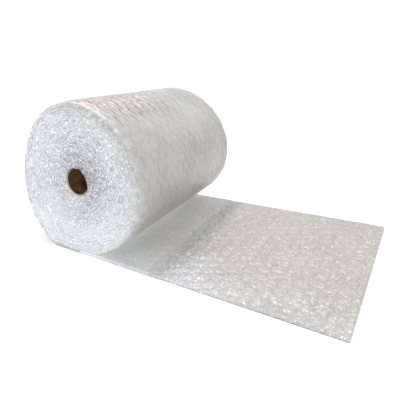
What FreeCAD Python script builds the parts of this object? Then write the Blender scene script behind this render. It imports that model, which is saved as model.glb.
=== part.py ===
"""Bubble wrap roll lying on its side, with a stretch of the wrap run out flat on the floor.

Frame: millimetres, +Z up, the floor at z = 0. The roll's axis runs along Y, straight above
the origin, and the loose end of the wrap runs out along +X.
"""
import FreeCAD, Part
import Sketcher

import math
import os

Vector = FreeCAD.Vector

# Driving dimensions
# Lengths are in millimetres, and winding_turns is a count.
SIZES = {
    # Cardboard core
    "core_bore": 50.0,  # diameter of the hole through the core
    "core_wall": 3.0,
    "core_fit": 0.05,  # room between the core and the flats of the first turn
    "core_inset": 6.5,  # how far each end of the core lies inside the end of the roll
    # Wound wrap
    "roll_width": 375.0,
    "winding_turns": 18,
    "sheet_thickness": 6.1,  # backing film and bubbles together
    "turn_slack": 0.58,  # spare room that each turn takes when it is wound
    "end_dish": 7.5,  # how far the middle of each end sinks below the rim
    "turn_groove": 2.5,  # depth of the groove between two turns, seen on the ends
    # The soft roll hangs out of round, towards the side where the wrap comes down to the floor
    "oval_sag": 2.9,
    "pear_sag": 3.7,
    "sag_angle": 44.0,  # degrees from straight down to where the roll bulges most
    # Loose end of the wrap, measured from the roll's axis
    "tail_near": 443.5,  # length along the edge at -Y
    "tail_far": 472.5,  # length along the edge at +Y, because the cut is a little oblique
    # Bubbles
    "bubble_pitch": 23.4,  # from one bubble to the next along the roll
    "crown_length": 9.0,  # the flat of a bubble's crown, along the roll
    "tail_relief": 3.4,  # from a bubble's crown down to the sealed film, on the loose end
    "roll_relief": 1.8,  # the same on the outer turn, where the backing film faces out
    "relief_run_in": 45.0,  # bubbles are flattened over this length where the wrap is pinched
}

FULL_TURN = 2 * math.pi
FINEST_TURN = 20  # fewest straight steps that one turn is drawn with
LONGEST_STEP = 27  # and the longest that they may be, where that takes more steps
GROOVE_RUN_OUT = 0.125  # part of a turn over which the outermost groove fades out
SAME_POINT = 1e-6

# Corners of a bubble's cell, counted in thirds of a row and halves of a bubble's pitch
CELL_CORNERS = ((2, 0), (1, 1), (-1, 1), (-2, 0), (-1, -1), (1, -1))

doc = FreeCAD.newDocument("bubble_wrap_roll")


# Spreadsheet of the driving dimensions
def make_sheet(sizes):
    sheet = doc.addObject("Spreadsheet::Sheet", "sizes")
    for number, (name, value) in enumerate(sizes.items(), start=1):
        sheet.set(f"A{number}", name)
        sheet.set(f"B{number}", str(value))
        sheet.setAlias(f"B{number}", name)
    doc.recompute()
    return sheet


sheet = make_sheet(SIZES)


def size(name):
    return float(sheet.get(name))


# Where the turns lie
# A line on the wound wrap is named by its turn, the number of turns out from the core, so that
# 0 is the start of the web, each whole number is straight under the axis, and the wrap leaves
# the roll for the floor at the last whole number.
turns = round(size("winding_turns"))
sheet_thickness = size("sheet_thickness")
turn_pitch = sheet_thickness + size("turn_slack")
half_width = size("roll_width") / 2
oval_sag, pear_sag = size("oval_sag"), size("pear_sag")
sag_angle = math.radians(size("sag_angle"))
tail_near, tail_far = size("tail_near"), size("tail_far")
end_dish, turn_groove = size("end_dish"), size("turn_groove")
roll_relief, tail_relief = size("roll_relief"), size("tail_relief")
relief_run_in = size("relief_run_in")

# The innermost turn is drawn with flats, and the flats just clear the core.
core_radius = size("core_bore") / 2 + size("core_wall")
inner_radius = (core_radius + size("core_fit")) / math.cos(math.pi / FINEST_TURN)

# Under the axis the weight presses the turns together to the bare thickness of the sheet.
axis_height = inner_radius + turns * sheet_thickness


def rising_zero(function, low, high):
    """Where a function that rises from below zero passes it, found by halving."""
    for _ in range(60):
        middle = (low + high) / 2
        low, high = (middle, high) if function(middle) < 0 else (low, middle)
    return high


def wound_thickness(turn):
    """How much wrap lies between the core and a turn, before the floor flattens it."""
    off_sag = turn * FULL_TURN + sag_angle
    sag = oval_sag * math.cos(2 * off_sag) + pear_sag * math.cos(3 * off_sag)
    return turn_pitch * turn + sag * turn / turns


def leaving_angle(height, turn_below, turn_step):
    """How far round from straight down a turn stays pressed flat against what is under it."""
    def room_to_spare(angle):
        turn = turn_below + turn_step * angle / FULL_TURN
        return height / math.cos(angle) - inner_radius - wound_thickness(turn)
    return rising_zero(room_to_spare, 0, FULL_TURN / 5)


nip_angle = leaving_angle(axis_height - sheet_thickness, turns - 1, 1)
contact_angle = leaving_angle(axis_height, turns, -1)
nip_turn = turns - 1 + nip_angle / FULL_TURN
contact_turn = turns - contact_angle / FULL_TURN
nip_x = (axis_height - sheet_thickness) * math.tan(nip_angle)


def turn_radius(turn):
    """Distance from the axis: a spiral, squeezed towards the floor where it is flattened."""
    angle = turn % 1 * FULL_TURN
    wound = wound_thickness(turn)
    if math.cos(angle) <= 0:
        return inner_radius + wound
    pressed_on = sheet_thickness if angle < math.pi else 0
    room = (axis_height - pressed_on) / math.cos(angle) - inner_radius
    return inner_radius + wound * min(1, room / wound_thickness(turns - 1 + turn % 1))


def on_circle(radius, turn, y):
    angle = turn * FULL_TURN
    return Vector(radius * math.sin(angle), y, axis_height - radius * math.cos(angle))


def cut_x(y):
    """The oblique cut across the loose end."""
    share = (y + half_width) / (2 * half_width)
    return tail_near + (tail_far - tail_near) * share


# Bubbles
# They lie in straight rows along the roll, with every other row shifted by half a pitch. Each
# bubble is a shallow six-sided dome with a short ridge for its crown, and the domes meet in the
# sealed film. The number of bubbles and of rows is whole, and the spacing gives way a little to
# allow it.
bubbles = max(2, round(2 * half_width / size("bubble_pitch")))
pitch = 2 * half_width / bubbles
row_spacing = size("bubble_pitch") * math.sqrt(3) / 2
crown_half = size("crown_length") / 2

outer_arc = (contact_turn - nip_turn) * FULL_TURN * (inner_radius + turn_pitch * turns)
outer_rows = max(2, round(outer_arc / row_spacing))
tail_rows = max(2, round((cut_x(0) - nip_x) / row_spacing))


def relief_share(distance):
    return min(1, distance / relief_run_in)


def outer_turn_at(row):
    return nip_turn + (contact_turn - nip_turn) * row / outer_rows


def on_outer_turn(row, y, crown):
    """A point of the outer turn, from the nip over the top and down to the floor."""
    turn = outer_turn_at(row)
    to_pinch = min(row, outer_rows - row) * outer_arc / outer_rows
    sunk = 0 if crown else roll_relief * relief_share(to_pinch)
    return on_circle(turn_radius(turn) - sunk, turn, y)


def on_tail(row, y, crown):
    """A point of the loose end's top, from the nip to the cut."""
    x = nip_x + (cut_x(y) - nip_x) * row / tail_rows
    sunk = 0 if crown else tail_relief * relief_share(x - nip_x)
    return Vector(x, y, sheet_thickness - sunk)


def cell_outline(row, middle, rows):
    """Corners of a bubble's cell in order, or what is left of them where an edge cuts it."""
    corners = [(row + across / 3, middle + along * pitch / 2) for across, along in CELL_CORNERS]
    kept = [-0.5 < place < rows + 0.5 and abs(y) < half_width + SAME_POINT for place, y in corners]
    if all(kept):
        return corners + corners[:1]
    first = next(k for k in range(len(corners)) if kept[k] and not kept[k - 1])
    chain = [corners[(first + k) % len(corners)] for k in range(sum(kept))]
    return [(min(max(place, 0), rows), y) for place, y in chain]


def whole_bubble(row, middle, seal, surface):
    """Facets of a bubble: three on each side of its crown's ridge, and one at each end of it."""
    low, high = (surface(row, middle + shift, True) for shift in (-crown_half, crown_half))
    crowns = [high, high, high, low, low, low]
    sides = [[crown, *edge] for crown, edge in zip(crowns, zip(seal, seal[1:]))]
    return sides + [[low, high, seal[0]], [high, low, seal[3]]]


def cut_bubble(row, middle, seal, surface):
    """Facets of what is left of a bubble that an edge of the wrap cuts through."""
    crown = surface(row, middle, True)
    return [[crown, corner, following] for corner, following in zip(seal, seal[1:])]


def bubble_field(rows, surface):
    """Facets of a stretch of wrap, cut through the bubbles of its first and last rows."""
    facets = []
    for row in range(rows + 1):
        shifted = row % 2
        for number in range(bubbles + shifted):
            middle = pitch * (number + (1 - shifted) / 2) - half_width
            seal = [surface(place, y, False) for place, y in cell_outline(row, middle, rows)]
            dome = whole_bubble if len(seal) > len(CELL_CORNERS) else cut_bubble
            facets += dome(row, middle, seal, surface)
    return facets


def field_side(rows, y, surface):
    """Where a stretch of wrap meets the plane of one end: pairs of row and point."""
    side = []
    for row in range(rows + 1):
        if row % 2:
            side.append((row, surface(row, y, True)))
        else:
            places = (max(row - 1 / 3, 0), min(row + 1 / 3, rows))
            side += [(place, surface(place, y, False)) for place in places]
    return side


def field_end(row, surface):
    """The line of points across the wrap at its first or last row, from -Y to +Y."""
    return [surface(row, pitch * step / 2 - half_width, (step + row) % 2 == 1)
            for step in range(2 * bubbles + 1)]


# Ends of the roll
# Each turn shows as a rounded ridge with a groove on either side of it.
def stitch(line, other):
    """Facets between two lines of (turn, point) pairs that run side by side."""
    facets = []
    here, there = 0, 0
    while here < len(line) - 1 or there < len(other) - 1:
        other_done = there == len(other) - 1
        line_next = here < len(line) - 1 and (other_done or line[here + 1][0] <= other[there + 1][0])
        if line_next:
            facets.append([line[here][1], line[here + 1][1], other[there][1]])
            here += 1
        else:
            facets.append([line[here][1], other[there + 1][1], other[there][1]])
            there += 1
    return facets


def step_turns():
    """The turns at which the wound lines have a point: a finer step where the turn is longer."""
    places = []
    for turn in range(turns - 1):
        length = FULL_TURN * (inner_radius + turn_pitch * (turn + 0.5))
        steps = max(FINEST_TURN, round(length / LONGEST_STEP))
        places += [turn + step / steps for step in range(steps)]
    return places + [turns - 1]


def dish_depth(turn):
    return end_dish * (1 - turn / (turns - 1))


def groove_depth(turn):
    return turn_groove * min(1, (turns - 1 - turn) / GROOVE_RUN_OUT)


def end_lines(side):
    """The groove from the core to the rim, and the ridge beside it, on the end at side -1 or 1."""
    groove, ridge = [], []
    for turn in step_turns():
        y = side * (half_width - dish_depth(turn))
        groove.append((turn, on_circle(turn_radius(turn), turn, y - side * groove_depth(turn))))
        ridge_radius = (turn_radius(turn) + turn_radius(turn + 1)) / 2
        ridge.append((turn, on_circle(ridge_radius, turn, y)))
    rim_y = side * half_width
    for row, point in field_side(outer_rows, rim_y, on_outer_turn):
        groove.append((outer_turn_at(row), point))
    groove.append((turns, Vector(0, rim_y, 0)))
    return groove, ridge


def bore_corners(side):
    """Edge of the hole for the core, one corner for each step of the first turn."""
    y = side * (half_width - dish_depth(0) - groove_depth(0))
    return [(turn, on_circle(inner_radius, turn, y)) for turn in step_turns() if turn <= 1]


def end_facets(side):
    groove, ridge = end_lines(side)
    inside = [place for place in groove if place[0] <= turns - 1]
    outside = [(turn - 1, point) for turn, point in groove if turn >= 1]
    first_turn = [place for place in groove if place[0] <= 1]
    web_start = [groove[0][1], ridge[0][1], outside[0][1]]
    return (stitch(bore_corners(side), first_turn) + [web_start]
            + stitch(inside, ridge) + stitch(ridge, outside))


def tail_side(side):
    """The loose end seen from one end of the roll."""
    y = side * half_width
    groove, ridge = end_lines(side)
    top = [point for _, point in field_side(tail_rows, y, on_tail)]
    under_axis = next(point for turn, point in groove if turn == turns - 1)
    return [Vector(0, y, 0), Vector(cut_x(y), y, 0), *reversed(top), under_axis, ridge[-1][1]]


def floor_face():
    """The flat that the roll rests on, and the loose end's underside."""
    touching = field_end(outer_rows, on_outer_turn)
    return touching + [Vector(0, half_width, 0), Vector(cut_x(half_width), half_width, 0),
                       Vector(cut_x(-half_width), -half_width, 0), Vector(0, -half_width, 0)]


def tip_face():
    """The cut at the loose end, which goes through a row of bubbles."""
    top = field_end(tail_rows, on_tail)
    return top + [Vector(cut_x(y), y, 0) for y in (half_width, -half_width)]


def bore_walls():
    near = [point for _, point in bore_corners(-1)]
    far = [point for _, point in bore_corners(1)]
    return [[near[k], near[k + 1], far[k + 1], far[k]] for k in range(len(near) - 1)]


def without_repeats(corners):
    """A facet's corners, each point once."""
    return [point for k, point in enumerate(corners)
            if point.distanceToPoint(corners[k - 1]) > SAME_POINT]


# The whole web of wrap: wound turns and loose end in one solid
def make_bubble_wrap():
    outlines = bubble_field(outer_rows, on_outer_turn) + bubble_field(tail_rows, on_tail)
    for side in (-1, 1):
        outlines += end_facets(side) + [tail_side(side)]
    outlines += bore_walls() + [floor_face(), tip_face()]

    faces = []
    for outline in outlines:
        corners = without_repeats(outline)
        if len(corners) > 2:
            faces.append(Part.Face(Part.makePolygon(corners + corners[:1])))
    shell = Part.makeShell(faces)
    shell.sewShape()
    solid = Part.makeSolid(shell)
    if solid.Volume < 0:
        solid.reverse()

    wrap = doc.addObject("Part::Feature", "bubble_wrap")
    wrap.Label = "bubble_wrap"
    wrap.Shape = solid
    wrap.Placement = FreeCAD.Placement()
    return wrap


# Cardboard core: a plain tube along Y, in the middle of the turns
def make_core_tube():
    body = doc.addObject("PartDesign::Body", "core_tube")
    body.Label = "core_tube"
    across = next(plane for plane in body.Origin.OriginFeatures if plane.Role == "XZ_Plane")

    section = body.newObject("Sketcher::SketchObject", "core_section")
    section.AttachmentSupport = (across, [""])
    section.MapMode = "FlatFace"
    for name, expression in (("bore", "sizes.core_bore"),
                             ("outside", "sizes.core_bore + 2 * sizes.core_wall")):
        circle = section.addGeometry(Part.Circle(Vector(0, 0, 0), Vector(0, 0, 1), core_radius))
        section.addConstraint(Sketcher.Constraint("Coincident", circle, 3, -1, 1))
        diameter = section.addConstraint(Sketcher.Constraint("Diameter", circle, 2 * core_radius))
        section.renameConstraint(diameter, name)
        section.setExpression(f"Constraints.{name}", expression)

    tube = body.newObject("PartDesign::Pad", "core_length")
    tube.Profile = section
    tube.SideType = "Symmetric"
    tube.setExpression("Length", "sizes.roll_width - 2 * sizes.core_inset")

    body.setExpression(
        "Placement.Base.z",
        "(sizes.core_bore / 2 + sizes.core_wall + sizes.core_fit)"
        f" / cos(180 deg / {FINEST_TURN}) + round(sizes.winding_turns) * sizes.sheet_thickness")
    return body


def check(sub_parts):
    """Stop before anything is written if a feature failed or a shape isn't one sound solid."""
    doc.recompute()
    for item in doc.Objects:
        if "Invalid" in item.State or "Error" in item.State:
            raise RuntimeError(f"{item.Name} failed: {item.State}")
    for sub_part in sub_parts:
        shape = sub_part.Shape
        if shape.isNull() or not shape.isValid() or len(shape.Solids) != 1:
            raise RuntimeError(f"{sub_part.Label} has no sound shape")
        print(f"{sub_part.Label}: {len(shape.Faces)} faces, {shape.Volume / 1000:.1f} cm3")


def main():
    sub_parts = [make_core_tube(), make_bubble_wrap()]
    check(sub_parts)
    os.makedirs("parts", exist_ok=True)
    for sub_part in sub_parts:
        sub_part.Shape.exportStep(f"parts/{sub_part.Label}.step")


main()
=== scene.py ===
# %% [markdown]
# # Bubble wrap roll
#
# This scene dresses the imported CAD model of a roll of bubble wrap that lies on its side, with a
# stretch of the wrap run out flat beside it. The real thing is one long web of clear film with
# air bubbles in it, wound on a cardboard core. The CAD model gives its size and its outline.
# Here the web is modelled again with rounder bubbles, folds and film edges, in four pieces:
# the outer turn, the loose end, and the two ends of the roll. The core keeps its CAD shape.

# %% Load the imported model
import math

import bmesh
import bpy
from mathutils import Matrix, Vector, noise


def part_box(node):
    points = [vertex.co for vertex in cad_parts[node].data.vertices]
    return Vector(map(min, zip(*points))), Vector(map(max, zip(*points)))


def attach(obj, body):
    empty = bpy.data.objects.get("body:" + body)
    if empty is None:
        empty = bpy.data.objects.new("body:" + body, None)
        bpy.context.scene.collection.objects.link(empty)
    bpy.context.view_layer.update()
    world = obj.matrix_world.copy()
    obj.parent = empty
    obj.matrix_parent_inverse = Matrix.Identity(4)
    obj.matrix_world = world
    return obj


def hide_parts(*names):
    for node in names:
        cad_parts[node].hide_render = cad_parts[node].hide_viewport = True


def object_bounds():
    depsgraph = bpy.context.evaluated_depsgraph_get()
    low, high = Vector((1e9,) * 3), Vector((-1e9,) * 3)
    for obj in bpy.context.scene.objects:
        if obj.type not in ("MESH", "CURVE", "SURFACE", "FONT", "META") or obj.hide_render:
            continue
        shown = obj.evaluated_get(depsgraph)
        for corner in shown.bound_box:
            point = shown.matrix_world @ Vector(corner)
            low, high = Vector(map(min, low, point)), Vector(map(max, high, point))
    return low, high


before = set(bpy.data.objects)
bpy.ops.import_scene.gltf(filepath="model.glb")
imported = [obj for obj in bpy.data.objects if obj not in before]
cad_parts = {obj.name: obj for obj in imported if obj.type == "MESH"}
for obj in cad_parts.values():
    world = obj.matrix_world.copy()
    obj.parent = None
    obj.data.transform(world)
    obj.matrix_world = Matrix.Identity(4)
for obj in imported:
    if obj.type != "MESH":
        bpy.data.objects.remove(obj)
cad_low, cad_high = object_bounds()
print("CAD box in mm:", [round(1000 * c) for c in (*cad_low, *cad_high)])

# %% [markdown]
# ## Camera
#
# A camera can be placed by eye or worked out from the photograph. Here the outline of the roll,
# the edges of the loose end and the hole of the core were compared with the model until they
# agreed, which gave the camera's place, its three angles and the focal length. The object sits off
# the middle of the picture because the picture was cropped, so the lens is shifted and not turned.

# %% Camera
AZIMUTH, ELEVATION, TILT = 33.879, 11.193, -2.275  # degrees

lens = bpy.data.cameras.new("camera")
lens.sensor_width = 36
lens.lens = 32.42
lens.shift_x, lens.shift_y = 0.12815, -0.14827

camera = bpy.data.objects.new("camera", lens)
camera.location = (0.460919, -0.629977, 0.333388)
camera.rotation_mode = "QUATERNION"
camera.rotation_quaternion = (
    Matrix.Rotation(math.radians(AZIMUTH), 3, "Z")
    @ Matrix.Rotation(math.radians(90 - ELEVATION), 3, "X")
    @ Matrix.Rotation(math.radians(TILT), 3, "Z")).to_quaternion()
bpy.context.collection.objects.link(camera)
bpy.context.scene.camera = camera
print("camera", round(camera.location.length, 3), "m from the origin")

# %% [markdown]
# ## Where the turns lie
#
# The web is a spiral, squeezed a little where the soft roll rests on the floor. A place on it is
# named by its turn: 0 is at the core, every whole number is straight under the axis, and 18 is
# where the web leaves the roll for the floor. These are the same sizes and the same formulas as
# in the CAD source, in metres, so that the pieces made here lie on the CAD solid with no fitting.

# %% Sizes of the winding
MM = 0.001
FULL_TURN = 2 * math.pi
TURNS = 18
SHEET = 6.1 * MM  # backing film and bubbles together
TURN_PITCH = SHEET + 0.58 * MM
OVAL_SAG, PEAR_SAG, SAG_ANGLE = 2.9 * MM, 3.7 * MM, math.radians(44)

core_low, core_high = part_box("core_tube")
axis_height = (core_low.z + core_high.z) / 2
half_width = cad_high.y
inner_radius = axis_height - TURNS * SHEET
print(f"axis {1000 * axis_height:.1f} mm up, first turn at {1000 * inner_radius:.1f} mm")


# %% Radius of any place on the spiral
def wound_thickness(turn):
    """How much wrap lies between the core and a turn, before the floor flattens it."""
    off_sag = turn * FULL_TURN + SAG_ANGLE
    sag = OVAL_SAG * math.cos(2 * off_sag) + PEAR_SAG * math.cos(3 * off_sag)
    return TURN_PITCH * turn + sag * turn / TURNS


def turn_radius(turn):
    """Distance from the axis: a spiral, squeezed towards the floor where it is flattened."""
    if turn <= 0:
        return inner_radius
    angle = turn % 1 * FULL_TURN
    wound = wound_thickness(turn)
    if math.cos(angle) <= 0:
        return inner_radius + wound
    pressed_on = SHEET if angle < math.pi and turn < TURNS else 0
    room = (axis_height - pressed_on) / math.cos(angle) - inner_radius
    return inner_radius + wound * min(1, room / wound_thickness(max(turn, TURNS - 1 + turn % 1)))


def on_circle(radius, turn, y):
    """The place at this distance from the axis, this far round from straight down."""
    angle = turn * FULL_TURN
    return Vector((radius * math.sin(angle), y, axis_height - radius * math.cos(angle)))


print(f"outermost turn {1000 * turn_radius(TURNS - 0.5):.1f} mm from the axis at the top")

# %% [markdown]
# ## Where the roll meets the floor
#
# The outer turn leaves the loose end at one place, the nip, and touches the floor on the other
# side of the axis. Both angles solve an equation that has no tidy answer, so each is found by
# halving a range until nothing is left of it, which is short to write and can't go astray.

# %% Nip and contact
HALVINGS = 40
WIDEST_ANGLE = FULL_TURN / 5


def leaving_angle(height, turn_below, turn_step):
    """How far round from straight down a turn stays pressed flat against what is under it."""
    low, high = 0, WIDEST_ANGLE
    for _ in range(HALVINGS):
        middle = (low + high) / 2
        wound = wound_thickness(turn_below + turn_step * middle / FULL_TURN)
        if height / math.cos(middle) < inner_radius + wound:
            low = middle
        else:
            high = middle
    return high


nip_angle = leaving_angle(axis_height - SHEET, TURNS - 1, 1)
contact_angle = leaving_angle(axis_height, TURNS, -1)
nip_turn = TURNS - 1 + nip_angle / FULL_TURN
contact_turn = TURNS - contact_angle / FULL_TURN
nip_x = (axis_height - SHEET) * math.tan(nip_angle)
print(f"the loose end starts {1000 * nip_x:.0f} mm from the axis")

# %% [markdown]
# ## Bubbles
#
# The bubbles lie in rows along the roll, every other row shifted by half a pitch, as a honeycomb.
# One bubble could be modelled and copied, but real bubbles are never quite alike: some have lost
# air, and all are pulled about by the winding. So the film is a fine grid instead, and its height
# at each point follows from the distance to the nearest bubble, with a different fullness for
# each bubble and some smooth noise on top.

# %% Rows of bubbles
BUBBLES = 16  # in a row
PITCH = 2 * half_width / BUBBLES
BUBBLE_SPACING = 23.4 * MM
ROW_SPACING = BUBBLE_SPACING * math.sqrt(3) / 2
TAIL_NEAR, TAIL_FAR = 443.5 * MM, 472.5 * MM  # from the axis to the cut, at either edge

outer_arc = (contact_turn - nip_turn) * FULL_TURN * (inner_radius + TURN_PITCH * TURNS)
OUTER_ROWS = round(outer_arc / ROW_SPACING)


def cut_x(y):
    """The oblique cut across the loose end."""
    return TAIL_NEAR + (TAIL_FAR - TAIL_NEAR) * (y + half_width) / (2 * half_width)


TAIL_ROWS = round((cut_x(0) - nip_x) / ROW_SPACING)
print(OUTER_ROWS, "rows on the outer turn and", TAIL_ROWS, "on the loose end")

# %% Shape of a bubble
BUBBLE_RADIUS = 11.3 * MM
ROUND_DOME = 2.0  # power of the curve over a bubble
SEAL_DOME = 2.4  # a fuller curve, which keeps the painted shade of a seal narrow
NOISE_SPREAD = 1.6  # widens the noise to about -1 to 1
FULLNESS_STEPS = 7.31, 3.77  # steps through the noise from row to row and bubble to bubble


def mix(start, end, share):
    return start + (end - start) * share


def smooth(low, high, value):
    """0 below low, 1 above high, and a smooth rise between them."""
    share = min(1, max(0, (value - low) / (high - low)))
    return share * share * (3 - 2 * share)


def wobble(x, y, seed, wave):
    """Smooth noise between about -1 and 1, with waves of this length."""
    return noise.noise(Vector((x, y, seed)) / wave) * NOISE_SPREAD


def nearest_bubble(row, y):
    """Distance to the middle of the nearest bubble, and that bubble's row and number."""
    found = []
    for near_row in (math.floor(row), math.floor(row) + 1):
        offset = (1 - near_row % 2) / 2
        number = round((y + half_width) / PITCH - offset)
        middle = PITCH * (number + offset) - half_width
        away = math.hypot((row - near_row) * ROW_SPACING, y - middle)
        found.append((away, near_row, number))
    return min(found)


def fullness(near_row, number):
    """How much air a bubble still has: 1 for nearly all, and less for a few."""
    row_step, number_step = FULLNESS_STEPS
    drawn = noise.noise(Vector((near_row * row_step, number * number_step, 0.5)))
    return 1 - 0.55 * smooth(0.1, 0.5, drawn) - 0.12 * abs(drawn)


def dome(away, power):
    """Height of a bubble at a distance from its middle: 1 on the crown, 0 at the seal."""
    share = min(1, away / BUBBLE_RADIUS)
    return math.sqrt(1 - share ** power)


print("halfway out, a bubble has", round(dome(BUBBLE_RADIUS / 2, ROUND_DOME), 2), "of its height")

# %% [markdown]
# ## From a grid to a piece
#
# Every piece starts as a flat unit grid and is moved into place point by point. Each point also
# gets a few numbers that its material reads later: how deep it lies in a seal, a fold or a groove,
# which darkens its colour there as painted shade; how crumpled the film is at its `edge`; and how
# much light reaches it through the roll, as `glow`. The ends also have `hollow`, for the painted
# shade round the core, and `shoulder`, for the rubbed rim.
# A film gets its thickness at the end, from walls drawn down its edges. The pieces that replace
# the CAD solid of the wrap all ride on the one body of the object.

# %% Grids and shells
SAME_PLACE = 1e-6


def grid(x_segments, y_segments):
    """A unit grid from 0 to 1 both ways."""
    mesh = bmesh.new()
    bmesh.ops.create_grid(mesh, x_segments=x_segments, y_segments=y_segments, size=0.5)
    bmesh.ops.translate(mesh, verts=mesh.verts, vec=(0.5, 0.5, 0))
    return mesh


def numbers_for(mesh, *names):
    """Room for a number of each name at every point."""
    return [mesh.verts.layers.float.new(name) for name in names]


def edges_along(mesh):
    """The two long edges of a web that is still a flat grid."""
    return [edge for edge in mesh.edges
            if edge.is_boundary and abs(edge.verts[0].co.y - edge.verts[1].co.y) < SAME_PLACE]


def extrude_to(mesh, edges, into):
    """Draws a wall out from these edges to where each of their points goes."""
    walls = bmesh.ops.extrude_edge_only(mesh, edges=edges)["geom"]
    moved = {point for point in walls if isinstance(point, bmesh.types.BMVert)}
    for point in moved:
        point.co = into(point.co)
    return [edge for edge in walls
            if isinstance(edge, bmesh.types.BMEdge) and set(edge.verts) <= moved]


def close_shell(mesh, long_edges, into):
    """Gives a film its thickness: walls down its two long edges, and one flat inside."""
    bmesh.ops.bridge_loops(mesh, edges=extrude_to(mesh, long_edges, into))
    ends = [edge for edge in mesh.edges if edge.is_boundary]
    bmesh.ops.holes_fill(mesh, edges=ends, sides=0)


# %% Finished piece
def finish_piece(name, mesh):
    bmesh.ops.recalc_face_normals(mesh, faces=mesh.faces)
    open_edges = sum(1 for edge in mesh.edges if not edge.is_manifold)
    for face in mesh.faces:
        face.smooth = True
    data = bpy.data.meshes.new(name)
    mesh.to_mesh(data)
    mesh.free()
    piece = bpy.data.objects.new(name, data)
    bpy.context.collection.objects.link(piece)
    triangles = sum(len(polygon.vertices) - 2 for polygon in data.polygons)
    print(f"{name}: {triangles} triangles, {open_edges} open edges")
    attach(piece, "root")
    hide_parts("bubble_wrap")
    return piece


# %% [markdown]
# ## Folds of the outer turn
#
# The web is wound with its bubbles inwards, so the outside of the roll is the flat backing film.
# Where it was pulled tight it lies in short folds that run round the roll, one between every two
# bubbles of a row, so they stagger from row to row. They are deepest on the top, towards the front
# end, and fade out before the rim. A picture of folds on a smooth turn would look painted, because
# its dark lines stay when the light moves. So the depth of the folds is worked out for each point;
# the same depth also darkens the film's colour in the folds, which is painted shade.

# %% Folds
FOLD_DEPTH = 3.6 * MM
FOLD_WIDTH, FOLD_WIDTH_DEEP = 3.0 * MM, 4.1 * MM  # from the middle of a fold to its side
FOLD_SWAY = 4.0 * MM  # how far the folds wander off their straight rows
LEAST_FOLD = 0.14  # share of the depth that the folds keep all over the roll
FOLDS_START, FOLDS_STOP = (0.375, 0.43), (0.58, 0.7)  # share of a turn, 0 straight down
FOLDS_BACK = -70 * MM, 80 * MM  # y between which the deep folds turn shallow
FOLDS_RIM = 5 * MM, 22 * MM  # distance from the edge of the film between which they fade in
FOLD_STEPS = 5.3, 4.1  # steps through the noise from row to row and fold to fold


def fold_strength(turn, y):
    """Where the folds are deep: on the top of the roll, towards the end at -Y."""
    up = smooth(*FOLDS_START, turn % 1) * (1 - smooth(*FOLDS_STOP, turn % 1))
    front = 1 - smooth(*FOLDS_BACK, y)
    off_rim = smooth(*FOLDS_RIM, half_width - abs(y))
    return mix(LEAST_FOLD, 1, up * mix(0.2, 1, front) * off_rim)


def fold(row, y, width):
    """How deep a point is in a short fold between two bubbles of one row: 1 in its middle."""
    row_step, fold_step = FOLD_STEPS
    deepest = 0
    for near_row in (math.floor(row), math.floor(row) + 1):
        across = (y + half_width) / PITCH - (1 - near_row % 2) / 2 - 0.5
        drawn = noise.noise(Vector((near_row * row_step, round(across) * fold_step, 2.5)))
        off_fold = abs(across - round(across)) * PITCH
        off_row = abs(row - near_row)
        deep = (1 - smooth(0, width, off_fold)) * (1 - smooth(0.35, 1, off_row))
        deepest = max(deepest, deep * (0.8 + 0.6 * drawn))
    return deepest


def crease_at(turn, row, y, along):
    """How deep a point of the outer turn is in a fold, with the folds' wandering and ripples."""
    sway = FOLD_SWAY * wobble(along, y, seed=3.1, wave=36 * MM)
    ripple = 0.3 * abs(wobble(along / 4, y, seed=8.4, wave=5 * MM))
    strength = fold_strength(turn, y)
    width = mix(FOLD_WIDTH, FOLD_WIDTH_DEEP, strength)
    return min(1, fold(row + sway / ROW_SPACING, y + sway, width) + ripple) * strength


print(f"folds {1000 * FOLD_DEPTH:.1f} mm deep on the top and"
      f" {1000 * FOLD_DEPTH * LEAST_FOLD:.1f} mm elsewhere")

# %% [markdown]
# ## Rim of the outer turn
#
# At both edges of the web the last bubbles are cut open, so the rim has no air in it: it droops
# and crumples. At the upper right it is also rubbed round, as a shoulder. A bevel would give every
# part of the rim the same roundness, so the droop is worked out from the distance to the edge
# instead. The far rim, which hardly shows, is tidier.

# %% Rim
EDGE_DROOP = 2.0 * MM
DROOP_WIDTH = 13 * MM
EDGE_ZONE = 30 * MM  # the crumpled, airless stretch along the near edge
FAR_EDGE_ZONE = EDGE_ZONE / 2.5
FAR_DROOP = 0.4  # share of the near rim's droop and crumples that the far rim has
SHOULDER_ANGLE = math.radians(125)  # where the rim is most rounded, round from straight down
SHOULDER_PULL = 3 * MM  # how far the edge is pulled back there


def shoulder(turn):
    """How rounded the rim is at a turn: 1 at the upper right, where the edge was rubbed."""
    return smooth(0, 0.85, math.cos(turn % 1 * FULL_TURN - SHOULDER_ANGLE))


def rim_at(turn, y, along):
    """How far the film droops at its rim, and how crumpled it is there."""
    zone, share = (FAR_EDGE_ZONE, FAR_DROOP) if y > 0 else (EDGE_ZONE, 1)
    to_edge = half_width - abs(y)
    rounded = shoulder(turn)
    uneven = 0.35 * wobble(along, y / 3, seed=5.7, wave=23 * MM)
    near_edge = max(0, 1 - to_edge / (DROOP_WIDTH * (1 + rounded + uneven))) ** 2
    ragged = 1 + 0.5 * wobble(along, 0, seed=1.3, wave=9 * MM)
    droop = near_edge * share * (EDGE_DROOP * ragged + SHOULDER_PULL * rounded)
    frayed = 0.35 * wobble(along, y, seed=2.8, wave=11 * MM)
    crumpled = 1 - smooth(-0.3, 1, to_edge / zone + frayed)
    return droop, crumpled * share * (1 - 0.55 * rounded)


print(f"the rim droops {1000 * EDGE_DROOP:.0f} mm,"
      f" and {1000 * SHOULDER_PULL:.0f} mm more where it is roundest")

# %% [markdown]
# ## Outer turn
#
# The film of the outer turn also sinks a little between the bubbles under it, and lies smooth
# where it is pinched against the loose end and the floor. Near the nip, light comes through the
# wrap from the floor. Its path through so many layers would take long to trace, so the film there
# gets a faint glow that fades with the distance from the nip.

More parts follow.
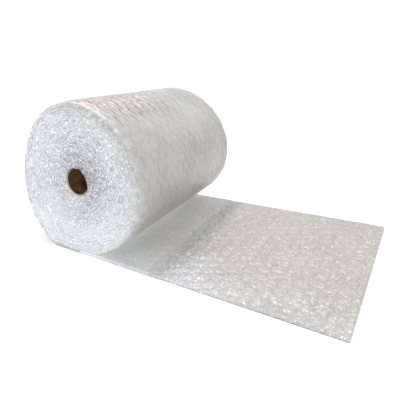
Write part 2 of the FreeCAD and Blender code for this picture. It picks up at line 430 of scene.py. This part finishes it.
# %% Depth of the film
BUBBLE_SINK = 0.45 * MM
PINCH_REACH = 45 * MM  # how far from the nip and the floor the film is pulled smooth
EDGE_CRUMPLE = 1.1 * MM
FILM_SLACK = 0.35 * MM
FAINT_SEAL = 0.04  # how much painted shade darkens the film over the seals under it
GLOW_REACH = 128 * MM  # how far from the nip light from inside the roll brightens the film


def outer_depth(turn, y, along):
    """How far the film lies inside the nominal surface, and its seam shade, edge and glow."""
    row = (turn - nip_turn) / (contact_turn - nip_turn) * OUTER_ROWS
    away, near_row, number = nearest_bubble(row, y)
    relief = smooth(0, PINCH_REACH, min(row, OUTER_ROWS - row) * ROW_SPACING)
    sunk = (1 - dome(away, ROUND_DOME) * fullness(near_row, number)) * BUBBLE_SINK
    crease = crease_at(turn, row, y, along)
    droop, edge = rim_at(turn, y, along)
    crumple = EDGE_CRUMPLE * edge * abs(wobble(along / 1.6, y, seed=4.9, wave=8 * MM))
    slack = FILM_SLACK * wobble(along, y, seed=6.2, wave=60 * MM)
    depth = (sunk + FOLD_DEPTH * crease + droop + slack + crumple) * relief
    # the seals and the folds darken the colour through this number: painted shade
    seam_shade = FAINT_SEAL * (1 - dome(away, SEAL_DOME)) + crease
    glow = 1 - smooth(0, GLOW_REACH, row * ROW_SPACING)
    return max(0, depth), seam_shade, edge, glow


print("glow reaches", round(GLOW_REACH / outer_arc, 2), "of the way round the roll")

# %% Outer turn
OUTER_STEPS, OUTER_ACROSS = 450, 214
FILM_DEPTH = 8 * MM  # a little more than the wrap, to reach in behind the last bands
EDGE_SLOPE = 6 * MM  # how far the inside of the rim lies behind its edge
RADII_OUT = 5  # about how many times as far out as the first turn the outer turn lies

shell = grid(OUTER_STEPS, OUTER_ACROSS)
seam_shade_of, edge_of, glow_of = numbers_for(shell, "seam_shade", "edge", "glow")
long_edges = edges_along(shell)
for point in shell.verts:
    turn = mix(nip_turn, TURNS, point.co.x)
    y = mix(-half_width, half_width, point.co.y)
    along = (turn - nip_turn) * FULL_TURN * inner_radius * RADII_OUT
    depth, point[seam_shade_of], point[edge_of], point[glow_of] = outer_depth(
        min(turn, contact_turn), y, along)
    near_edge = max(0, 1 - (half_width - abs(y)) / (2 * DROOP_WIDTH)) ** 2
    pulled = SHOULDER_PULL * shoulder(turn) * near_edge
    point.co = on_circle(turn_radius(turn) - depth, turn, y - math.copysign(pulled, y))


def towards_axis(place):
    """The film's inner face, nearer to the axis and behind the edge."""
    inwards = Vector((0, place.y, axis_height)) - place
    inner = place + inwards.normalized() * FILM_DEPTH
    inner.y -= math.copysign(EDGE_SLOPE, place.y)
    return inner


close_shell(shell, long_edges, towards_axis)
outer_turn = finish_piece("outer_turn", shell)

# %% [markdown]
# ## Loose end
#
# Past the nip the web lies on the floor with its bubbles up. Here the bubbles show as they are:
# low round cushions, sealed to the backing film between them, and crumpled. Beside the roll they
# are pressed flat, and the film there lies in the roll's shade, lit only by what comes through it.
# The same kind of grid makes them, but it measures its heights from the floor and not from the
# axis. Copies of one bubble would look stamped on such a plain flat sheet.

# %% Height of the loose end
TAIL_RELIEF = 2.3 * MM
TAIL_SLACK = 0.25 * MM
TAIL_SWAY = 2.4 * MM  # how far the bubbles are pulled out of their rows
NIP_REACH = 30 * MM  # from the nip to where the web lies free of the roll
PRESSED_END = 85 * MM, 125 * MM  # from the nip, between which the bubbles rise to their height
PRESSED = 0.2  # share of their height that pressed bubbles keep
SELVAGE = 1 * MM, 9 * MM  # from the edge of the film, between which its bubbles are whole
SHADE_REACH = 112 * MM  # how far from the nip the roll shades the film
SPARKLING_FRONT = -190 * MM, -70 * MM  # y between which the crumpled front strip turns calm
SPARKLE_FADE = 180 * MM, 340 * MM  # x between which that strip gets calmer towards the cut


def tail_glow(from_nip, y):
    """Light through the shaded film: strongest at the nip, and gone where the shade ends."""
    glow = mix(0.85, 0.53, smooth(0, 0.45 * SHADE_REACH, from_nip))
    glow *= 1 - smooth(0.92 * SHADE_REACH, 1.28 * SHADE_REACH, from_nip)
    return glow * mix(1, 0.62, smooth(0, half_width, y))


def tail_top(x, y):
    """Height of the bubbles over the floor, and their seam shade, edge and glow."""
    row = (x - nip_x) / (cut_x(y) - nip_x) * TAIL_ROWS
    sway_x = TAIL_SWAY * wobble(x, y, seed=2.2, wave=14 * MM)
    sway_y = TAIL_SWAY * wobble(x, y, seed=7.7, wave=14 * MM)
    away, near_row, number = nearest_bubble(row + sway_x / ROW_SPACING, y + sway_y)
    from_nip = x - nip_x
    relief = smooth(0, NIP_REACH, from_nip) * mix(PRESSED, 1, smooth(*PRESSED_END, from_nip))
    crumple = (0.7 * wobble(x, y, seed=4.1, wave=8 * MM)
               + 1.2 * abs(wobble(x, y, seed=9.3, wave=4.6 * MM)))
    bubble = 0.8 * dome(away, ROUND_DOME) * fullness(near_row, number) + 0.2 - 0.36 * crumple
    slack = TAIL_SLACK * wobble(x, y, seed=1.9, wave=50 * MM)
    selvage = mix(0.35, 1, smooth(*SELVAGE, half_width - abs(y)))
    sunk = (TAIL_RELIEF * (1 - min(1.05, bubble)) * selvage + slack) * relief
    wavy = 20 * MM * wobble(x, y, seed=6.6, wave=40 * MM)
    edge = (1 - smooth(*SPARKLING_FRONT, y + wavy)) * mix(1, 0.3, smooth(*SPARKLE_FADE, x))
    return SHEET - max(0, sunk), 1 - dome(away, SEAL_DOME), edge, tail_glow(from_nip, y)


print(f"bubbles stand {1000 * TAIL_RELIEF:.1f} mm over their seals, in {1000 * SHEET:.1f} mm of wrap")

# %% Loose end
TAIL_STEPS, TAIL_ACROSS = 360, 250
TAIL_START = -2 * MM

shell = grid(TAIL_STEPS, TAIL_ACROSS)
seam_shade_of, edge_of, glow_of = numbers_for(shell, "seam_shade", "edge", "glow")
long_edges = edges_along(shell)
for point in shell.verts:
    y = mix(-half_width, half_width, point.co.y)
    x = mix(TAIL_START, cut_x(y), point.co.x)
    z, point[seam_shade_of], point[edge_of], point[glow_of] = tail_top(x, y)
    point.co = Vector((x, y, z))

close_shell(shell, long_edges, lambda place: Vector((place.x, place.y, 0)))
loose_end = finish_piece("loose_end", shell)

# %% [markdown]
# ## Relief of the ends
#
# The two ends show every turn as a band of film edges, cut bubbles and crumples, about as wide as
# the wrap is thick. A flat disc with rings drawn on it looks wrong as soon as the light comes from
# the side. So the relief is worked out for each point: raised in the middle of each band, sunk
# between the bands, and crumpled all over in folds of several sizes. Some parts of a real end are
# neat and some are trampled, so a slow noise says how well the bands show.

# %% Relief of the ends
END_BANDS = TURNS - 1  # the outer turn has its own edge
BAND_HEIGHT = 1.9 * MM
CRUMPLE_HEIGHT = 1.6 * MM
LAST_GROOVE = 0.05  # share of its turn in which the last band's outer groove fades away
NUDGE = 1e-6  # keeps a whole turn from being rounded down


def band_relief(turn, share, width, angle_share, radius, side):
    """How far a point of the end stands out of the dish, and how deep it is in a groove."""
    x = radius * math.sin(angle_share * FULL_TURN)
    z = radius * math.cos(angle_share * FULL_TURN)
    seed = 0.003 * side
    fullest = min(1, 2 * width / TURN_PITCH)
    ridge = math.sin(math.pi * share) ** 0.8 * fullest
    if share > 0.5:
        ridge = mix(ridge, fullest, smooth(END_BANDS - 1, END_BANDS - 1 + LAST_GROOVE, turn))
    arc = angle_share * FULL_TURN * radius
    swell = math.sin(FULL_TURN * (arc / ROW_SPACING + 0.37 * math.floor(turn + NUDGE) ** 2))
    neat = mix(0.35, 1, smooth(-0.2, 0.7, wobble(x, z, seed, wave=45 * MM)))
    crumple = (1.1 * wobble(x, z, seed + 0.001, wave=14 * MM)
               - 1.5 * abs(wobble(x, z, seed + 0.002, wave=9 * MM))
               - 1.1 * abs(wobble(x, z, seed + 0.004, wave=4.6 * MM))
               - 0.5 * abs(wobble(x, z, seed + 0.005, wave=2.6 * MM)) + 0.95)
    raised = BAND_HEIGHT * ridge * neat * (0.7 + 0.3 * swell) + CRUMPLE_HEIGHT * crumple
    # the groove number darkens the colour in the grooves and crumple pits: painted shade
    groove = neat * (1 - ridge * (0.8 + 0.2 * swell)) + 0.5 * smooth(-0.2, -1.2, crumple)
    return raised, groove


print(f"bands {1000 * BAND_HEIGHT:.1f} mm high, with crumples of {1000 * CRUMPLE_HEIGHT:.1f} mm on them")

# %% [markdown]
# ## Ends of the roll
#
# A grid is wound up along the same spiral as the web, one band for each turn, so its bands drift
# outwards as the real ones do. The bands are then welded to each other. The whole end is dished,
# deepest at the core, the film laps over the core's end, most at the upper right, and the last
# bands round off into the shoulder of the outer turn. A wall behind closes each end.

# %% Sizes of the ends
STEPS_PER_TURN = 480
BAND_SEGMENTS = 8
END_DISH = 7.5 * MM
RIM_INSET = 3.0 * MM  # how far the last band stays inside the outer turn
END_THICKNESS = 8 * MM
DRIFT = 1.1 * MM  # how far a band wanders off the spiral
LAP_LEAST, LAP_MOST = 2 * MM, 8.5 * MM  # how far crumpled film reaches over the end of the core
LAP_ANGLE = math.radians(132)  # where it reaches furthest, round from straight down
LAP_BANDS = 0.8  # how many bands from the core the lapping film reaches out
HOLLOW_REACH = 105 * MM  # out to where the face is painted darker, as shade towards the core
SHOULDER_BANDS = 3  # bands that share the pull of the shoulder
INSET_START = 0.02  # share of a turn past the nip in which the inset sets in
CORE_GAP = 0.4 * MM  # between the lapping film and the end of the core
BEHIND_GAP = 0.3 * MM  # between the back of the film and the side of the core
WELD, SLIVER = 0.02 * MM, 0.01 * MM

nip_share = nip_angle / FULL_TURN
core_clear = half_width - core_high.y - CORE_GAP  # deepest that film over the core may lie
print(f"film over the core stays within {1000 * core_clear:.1f} mm of the roll's end")


# %% Place of each point of an end
def shoulder_inset(turn, level):
    """How far the last bands are pulled in where the rim is rubbed round."""
    return SHOULDER_PULL * shoulder(turn) * smooth(END_BANDS - SHOULDER_BANDS, END_BANDS, level)


def band_radius(turn, level, radius, angle, side):
    """Distance from the axis, with the bands' drift, their inset at the rim and the film's lap."""
    drift = DRIFT * wobble(radius * math.sin(angle), radius * math.cos(angle),
                           seed=4.4 + side, wave=19 * MM)
    drift *= smooth(0, 1.5, level) * (1 - smooth(END_BANDS - 2, END_BANDS, level))
    at_rim = smooth(END_BANDS - 1, END_BANDS, level)
    at_rim *= smooth(nip_share, nip_share + INSET_START, turn % 1)
    ragged = wobble(math.sin(angle), math.cos(angle), seed=side, wave=0.35)
    lap = smooth(0, 1.2, math.cos(angle - LAP_ANGLE) + 0.3 * ragged)
    lap = mix(LAP_LEAST, LAP_MOST, lap) * (1 - smooth(0, LAP_BANDS, level))
    return radius + drift - RIM_INSET * at_rim - shoulder_inset(turn, level) - lap


def band_depth(turn, level, raised):
    """How far a point lies behind the end of the roll: in the dish, but clear of the core."""
    dish = END_DISH * (1 - max(0, level - 0.5) / END_BANDS)
    sunk = max(0, dish + CRUMPLE_HEIGHT - raised) + shoulder_inset(turn, level)
    return mix(sunk, min(sunk, core_clear), 1 - smooth(0, LAP_BANDS, level))


# %% Ends of the roll
def make_end(name, side):
    mesh = grid(STEPS_PER_TURN * (END_BANDS + 1), BAND_SEGMENTS)
    seam_shade_of, hollow_of, shoulder_of = numbers_for(mesh, "seam_shade", "hollow", "shoulder")
    for point in mesh.verts:
        turn, share = mix(-1, END_BANDS, point.co.x), point.co.y
        level = turn + share
        inner, outer = turn_radius(turn), turn_radius(turn + 1)
        radius = mix(inner, outer, share)
        angle_share = turn % 1
        angle = angle_share * FULL_TURN
        raised, point[seam_shade_of] = band_relief(
            turn, share, outer - inner, angle_share, radius, side)
        # painted shade round the core, stronger towards the right
        right = 0.5 + 0.5 * math.cos(angle - LAP_ANGLE)
        point[hollow_of] = (1 - smooth(inner_radius, HOLLOW_REACH, radius)) * mix(0.35, 1, right)
        share_out = radius / turn_radius(END_BANDS + angle_share)
        point[shoulder_of] = shoulder(turn) * smooth(0.7, 0.99, share_out)
        point.co = on_circle(band_radius(turn, level, radius, angle, side), turn,
                             side * (half_width - band_depth(turn, level, raised)))
    bmesh.ops.remove_doubles(mesh, verts=mesh.verts, dist=WELD)
    bmesh.ops.dissolve_degenerate(mesh, dist=SLIVER, edges=mesh.edges)

    def behind_film(place):
        """Back of the film's edge, clear of the core where it lies over the core's end."""
        flat = Vector((place.x, 0, place.z - axis_height))
        away = max(flat.length, core_high.x + BEHIND_GAP)
        flat = flat.normalized() * away
        depth = core_clear if away < 2 * core_high.x else END_DISH
        return Vector((flat.x, side * (half_width - depth), flat.z + axis_height))

    def to_back(place):
        return Vector((place.x, side * (half_width - END_DISH - END_THICKNESS), place.z))

    rims = [edge for edge in mesh.edges if edge.is_boundary]
    rims = extrude_to(mesh, rims, behind_film)
    rims = extrude_to(mesh, rims, to_back)
    bmesh.ops.bridge_loops(mesh, edges=rims)
    return finish_piece(name, mesh)


near_end = make_end("near_end_turns", -1)
far_end = make_end("far_end_turns", 1)

# %% [markdown]
# ## Materials
#
# The maths of a material is easier to read as an expression than as a chain of nodes. `Flow`
# wraps an output socket, and each operator on it adds one Math node. `Finish` holds a material
# and makes every other node from its type, its settings and what goes into its sockets.

# %% Flow
class Flow:
    """A number that changes over a surface, as the output of a node."""

    def __init__(self, finish, socket):
        self.finish, self.socket = finish, socket

    def maths(self, operation, *terms):
        return self.finish.add("Math", {"operation": operation}, dict(enumerate(terms)))

    def __add__(self, other):
        return self.maths("ADD", self, other)

    def __sub__(self, other):
        return self.maths("SUBTRACT", self, other)

    def __mul__(self, other):
        return self.maths("MULTIPLY", self, other)

    def __truediv__(self, other):
        return self.maths("DIVIDE", self, other)

    def __pow__(self, other):
        return self.maths("POWER", self, other)

    def __radd__(self, other):
        return self.maths("ADD", other, self)

    def __rsub__(self, other):
        return self.maths("SUBTRACT", other, self)

    def __rmul__(self, other):
        return self.maths("MULTIPLY", other, self)

    def __abs__(self):
        return self.maths("ABSOLUTE", self)

    def between(self, low, high):
        """0 where this is below low, 1 above high, and a straight rise between."""
        return self.finish.add("MapRange", {"clamp": True},
                               {"Value": self, "From Min": low, "From Max": high})


# %% Finish
class Finish:
    """A material, and the nodes that make it up."""

    def __init__(self, name, **constants):
        self.material = bpy.data.materials.new(name)
        self.material.use_nodes = True
        self.tree = self.material.node_tree
        self.surface = self.tree.nodes["Principled BSDF"]
        self.set({socket.replace("_", " "): value for socket, value in constants.items()})

    def feed(self, socket, value):
        if isinstance(value, Flow):
            self.tree.links.new(value.socket, socket)
        else:
            socket.default_value = value

    def add(self, kind, settings=None, inputs=None, output=0):
        node = self.tree.nodes.new("ShaderNode" + kind)
        for name, value in (settings or {}).items():
            setattr(node, name, value)
        for name, value in (inputs or {}).items():
            self.feed(node.inputs[name], value)
        return Flow(self, node.outputs[output])

    def set(self, inputs):
        """Sets or links the surface's own sockets."""
        for name, value in inputs.items():
            self.feed(self.surface.inputs[name], value)

    def place(self):
        return self.add("TexCoord", output="Object")

    def coordinate(self, axis):
        return self.add("SeparateXYZ", {}, {0: self.place()}, output=axis)

    def number(self, name):
        """A number that the mesh has for each point."""
        return self.add("Attribute", {"attribute_name": name}, output="Fac")

    def noise(self, scale, detail=3.0, roughness=0.6, vector=None):
        inputs = {"Vector": vector or self.place(), "Scale": scale, "Detail": detail,
                  "Roughness": roughness}
        return self.add("TexNoise", {}, inputs)

    def cells(self, scale):
        return self.add("TexVoronoi", {"feature": "F1"}, {"Vector": self.place(), "Scale": scale})

    def blend(self, share, start, end):
        return self.add("Mix", {"data_type": "RGBA"}, {0: share, 6: start, 7: end}, output=2)

    def bump(self, height, strength, distance):
        return self.add("Bump", {}, {"Height": height, "Strength": strength,
                                     "Distance": distance})

    def give_to(self, *pieces):
        """Makes this the only material of these pieces."""
        for piece in pieces:
            piece.data.materials.clear()
            piece.data.materials.append(self.material)
        print(f"{self.material.name}: {len(self.tree.nodes)} nodes,"
              f" on {', '.join(piece.name for piece in pieces)}")


# %% [markdown]
# ## Film
#
# One layer of the film is clear, but eighteen of them with air between scatter the light, so the
# roll looks milky and sparkles. Real clear plastic would need light to pass through dozens of
# walls, which takes long to render and turns black where it is cut short. A milky base colour
# under a glossy skin gives the same look. Fine crumples in the gloss, from noise and from small
# cells, catch the lamps as glints, and near-white flecks in the base colour add painted glints,
# left out where the film glows. The colour is also darkened in the seals and folds, as painted
# shade. Near the nip the film glows faintly, as far as `glow` says, and along the rim `edge` turns
# it into the cooler, more crumpled film of the ends.

# %% Film
# The deep colours serve random tone and also painted shade in seals, folds and grooves.
COOL, COOL_DEEP = (0.535, 0.55, 0.587, 1), (0.29, 0.298, 0.337, 1)
BACKING, BACKING_DEEP = (0.415, 0.414, 0.403, 1), (0.062, 0.038, 0.029, 1)
BUBBLE, BUBBLE_DEEP = (0.415, 0.397, 0.378, 1), (0.22, 0.208, 0.196, 1)
BACKING_GLOW, BUBBLE_GLOW = (0.3, 0.31, 0.288, 1), (0.272, 0.282, 0.262, 1)
# colour of the painted glints
PAINTED_GLINT = (0.95, 0.94, 0.92, 1)
BLACK = (0, 0, 0, 1)
TONE_SCALE, MOTTLE_SCALE = 14.0, 170.0  # noise cells in one metre, as are the next ones
CRUMPLE_SCALE, FINE_CRUMPLE_SCALE, CELL_SCALE = 110.0, 300.0, 210.0


def make_film(name, pale, deep, lit, seam_shade_share, grain, glint, painted_glints, painted_glint_scale, roughness):
    """Milky film, with `edge` turning it from the finish given here to cool, crumpled film."""
    film = Finish(name, IOR=1.5, Specular_IOR_Level=1.0, Emission_Strength=1.0)
    seam_shade, edge, glow = film.number("seam_shade"), film.number("edge"), film.number("glow")
    tone = film.noise(TONE_SCALE, 4.0, 0.55).between(0.35, 0.68)
    mottle = film.noise(MOTTLE_SCALE).between(0.32, 0.68)
    # painted shade from seals and folds, mixed with random tone and mottle
    shade = (seam_shade * seam_shade_share + tone * 0.2 + mottle * (grain + 0.3 * edge)).between(0.05, 0.95)
    colour = film.blend(edge, film.blend(shade, pale, deep), film.blend(shade, COOL, COOL_DEEP))
    # painted glints: near-white flecks in the base colour, fuller along the crumpled rim, left out where
    # the film glows in the shade
    painted_glint = film.noise(painted_glint_scale).between(0.57, 0.68) * (painted_glints + (1 - painted_glints) * edge)
    crumple = (film.noise(FINE_CRUMPLE_SCALE) + film.cells(CELL_SCALE) * 0.6
               + film.noise(CRUMPLE_SCALE, 2.0, 0.55) * 0.95) * (glint + (1 - glint) * edge)
    film.set({
        "Base Color": film.blend(painted_glint * (1 - glow), colour, PAINTED_GLINT),
        "Emission Color": film.blend(glow, BLACK, lit),
        "Roughness": roughness + mottle * 0.12,
        "Normal": film.bump(crumple, 0.8, 1.8 * MM),
    })
    return film


backing_film = make_film("backing_film", pale=BACKING, deep=BACKING_DEEP, lit=BACKING_GLOW,
                         seam_shade_share=0.95, grain=0.12, glint=0.15,
                         painted_glints=0.08, painted_glint_scale=330.0, roughness=0.4)
bubble_film = make_film("bubble_film", pale=BUBBLE, deep=BUBBLE_DEEP, lit=BUBBLE_GLOW,
                        seam_shade_share=0.05, grain=0.28, glint=0.8,
                        painted_glints=0.55, painted_glint_scale=300.0, roughness=0.24)
backing_film.give_to(outer_turn)
bubble_film.give_to(loose_end)

# %% [markdown]
# ## Film edges
#
# On the ends the film is seen edge on: hundreds of bright and dark lines that follow the turns,
# with sparks where an edge catches the light; the gloss on the bumps gives some of them, and the
# rest are painted highlights in the base colour. Rings by radius alone would be too even. So the
# noise is read at a place made from the direction, which changes slowly, and from the radius,
# which changes fast, and that draws it out into streaks round the axis. The grooves between the
# bands and the hollow round the core are painted darker, as shade, the foot is painted lighter, for
# the light that the floor would throw on it from below, and the face takes the backing film's
# colour where the rim is rounded.

# %% Film edges
STREAKS_AROUND = 7  # noise cells in one radian
STREAKS_ACROSS = 340.0  # noise cells in one metre of radius
SPECK_SCALE, HOLLOW_SCALE = 380.0, 150.0
PAINTED_SPARK_SCALE = 2.4  # times finer than the streaks, for the painted sparks
# colour of the painted highlights
PAINTED_SPARK = (0.97, 0.975, 1.0, 1)
# colour of the painted shade round the core
HOLLOW_SHADE = (0.16, 0.16, 0.185, 1)
FOOT_LIGHT = (0.74, 0.78, 0.84, 1)  # film near the floor, painted lighter for the light from below
FOOT_HEIGHTS = 20 * MM, 120 * MM  # between which that painted light fades


def make_edge_film():
    """Film seen edge on: fine streaks that follow the turns, with painted highlights as sparks in them.
    """
    film = Finish("edge_film", IOR=1.5, Specular_IOR_Level=1.0)
    height = film.coordinate(2)
    x, z = film.coordinate(0), height - axis_height
    radius = (x * x + z * z) ** 0.5
    around = film.add("CombineXYZ", {}, {0: x / radius * STREAKS_AROUND,
                                         1: z / radius * STREAKS_AROUND,
                                         2: radius * STREAKS_ACROSS})
    streak = film.noise(1.0, vector=around)
    speck = film.noise(SPECK_SCALE, 2.0)
    hollow, rounded = film.number("hollow"), film.number("shoulder")
    # painted shade in the grooves, with the film edges' own streaks and specks
    deep = (film.number("seam_shade") * 0.25 + streak.between(0.38, 0.66) * 0.42
            + speck.between(0.36, 0.66) * 0.35)
    # painted highlights: near-white sparks in the base colour, along the streaks and in specks
    painted_sparks = (film.noise(PAINTED_SPARK_SCALE, 1.0, 0.5, around).between(0.6, 0.7) * 0.8
              + film.noise(SPECK_SCALE, 2.0, 0.5).between(0.61, 0.68) * 0.75)
    colour = film.blend(deep.between(0.1, 1.0), COOL, COOL_DEEP)
    # painted light: lighter towards the floor, for the light from below
    colour = film.blend((1 - height.between(*FOOT_HEIGHTS)) * 0.4, colour, FOOT_LIGHT)
    # painted shade in the hollow round the core, mottled
    hollow_shade = hollow * film.noise(HOLLOW_SCALE, 3.0, 0.7).between(0.35, 0.6)
    colour = film.blend(hollow_shade, colour, HOLLOW_SHADE)
    colour = film.blend(rounded * 0.85, colour, BACKING)
    film.set({
        "Base Color": film.blend(painted_sparks.between(0.0, 1.0) * (1 - rounded * 0.6), colour, PAINTED_SPARK),
        "Roughness": 0.14 + speck.between(0.3, 0.7) * 0.14,
        "Normal": film.bump(streak * 1.2 + speck, 0.7, 1.4 * MM),
    })
    return film


make_edge_film().give_to(near_end, far_end)

# %% [markdown]
# ## Core
#
# The core is a tube of brown board. Its CAD shape is right, so it only gets a finish: flecked
# fibres over slow patches of lighter and darker brown, paler cut ends, and a shade at its mouth,
# where the film that laps over it keeps the light out. The bump is fine enough to read as paper.

# %% Core board
BROWN_DARK, BROWN_PALE = (0.06, 0.037, 0.017, 1), (0.33, 0.18, 0.07, 1)
MOUTH_SHADE = (0.022, 0.014, 0.009, 1)
CUT_BOARD = (0.4, 0.33, 0.26, 1)
FIBRE_SCALE, PATCH_SCALE = 420.0, 55.0
CUT_START, CUT_FULL = 1.2 * MM, 0.4 * MM  # behind the core's end, where the cut face sets in
MOUTH_START, MOUTH_FULL = 15 * MM, 2 * MM  # behind the core's end, where the shade sets in

board = Finish("core_board", IOR=1.45, Specular_IOR_Level=0.25)
fibre = board.noise(FIBRE_SCALE, 4.0, 0.7)
patches = board.noise(PATCH_SCALE, 3.0, 0.55)
off_middle = abs(board.coordinate(1))
cut_face = off_middle.between(core_high.y - CUT_START, core_high.y - CUT_FULL)
mouth = off_middle.between(core_high.y - MOUTH_START, core_high.y - MOUTH_FULL)
brown = board.blend(fibre.between(0.35, 0.65) * 0.4 + patches.between(0.35, 0.65) * 0.6,
                    BROWN_DARK, BROWN_PALE)
brown = board.blend(mouth * 0.75, brown, MOUTH_SHADE)
board.set({
    "Base Color": board.blend(cut_face, brown, CUT_BOARD),
    "Roughness": 0.75 + fibre * 0.2,
    "Normal": board.bump(fibre, 0.3, 0.4 * MM),
})
board.give_to(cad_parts["core_tube"])

# %% [markdown]
# ## Floor
#
# The photograph has a plain white ground that runs into a white background. A large white plane
# does that, but a shadow on it would be darker than the photograph's, so the plane also shines
# very faintly. It lies a hair under the model, so that no two faces share a plane.

# %% Floor
FLOOR_HALF_SIZE = 30
FLOOR_GAP = 0.2 * MM

ground = bmesh.new()
bmesh.ops.create_grid(ground, x_segments=1, y_segments=1, size=FLOOR_HALF_SIZE)
floor_mesh = bpy.data.meshes.new("floor")
ground.to_mesh(floor_mesh)
ground.free()
floor = bpy.data.objects.new("floor", floor_mesh)
bpy.context.collection.objects.link(floor)
floor.location.z = -FLOOR_GAP
Finish("floor", Base_Color=(0.96, 0.96, 0.96, 1), Roughness=0.9,
       Emission_Color=(1, 1, 1, 1), Emission_Strength=0.09).give_to(floor)

# %% [markdown]
# ## Light
#
# The photograph has soft light from all round, cooler and stronger from the front left, with the
# right side of the roll in a soft shade. A pale world gives the light from all round. One lamp in
# front and one overhead model the form, and a weak, low one on the right opens the shade beside
# the roll. Crumpled film sparkles because each crease mirrors some lamp, and a white world alone
# leaves it dull, so five small weak lamps stand about to be mirrored.


# %% Lights
def lamp(name, place, aim, size, power, colour):
    light = bpy.data.lights.new(name, "AREA")
    light.shape = "DISK"
    light.size, light.energy, light.color = size, power, colour
    item = bpy.data.objects.new(name, light)
    item.location = place
    item.rotation_euler = (Vector(place) - Vector(aim)).to_track_quat("Z", "Y").to_euler()
    bpy.context.collection.objects.link(item)


lamp("front_lamp", place=(-0.4, -1.2, 0.42), aim=(0, 0, 0.1), size=0.22, power=2.7,
     colour=(0.93, 0.96, 1.0))
lamp("top_lamp", place=(-0.25, 0.1, 2.0), aim=(0.1, 0, 0.1), size=0.45, power=24.5,
     colour=(1.0, 0.94, 0.87))
lamp("low_lamp", place=(1.5, -0.2, 0.3), aim=(0.05, 0, 0.05), size=0.6, power=0.6,
     colour=(1.0, 1.0, 0.98))
GLINT_PLACES = ((1.6, -1.0, 1.2), (0.6, -1.7, 0.5), (-1.5, -0.6, 1.5), (0.9, 1.2, 1.8),
                (0.2, -1.0, 1.7))
for number, place in enumerate(GLINT_PLACES, start=1):
    lamp(f"glint_lamp_{number}", place, aim=(0.1, 0, 0.1), size=0.08, power=0.45,
         colour=(1.0, 0.99, 0.97))

world = bpy.data.worlds.new("studio")
world.use_nodes = True
world.node_tree.nodes["Background"].inputs["Color"].default_value = (1, 1, 1, 1)
world.node_tree.nodes["Background"].inputs["Strength"].default_value = 1.0
bpy.context.scene.world = world
bpy.context.scene.view_settings.view_transform = "Standard"
print(len(bpy.data.lights), "lamps and a white world")
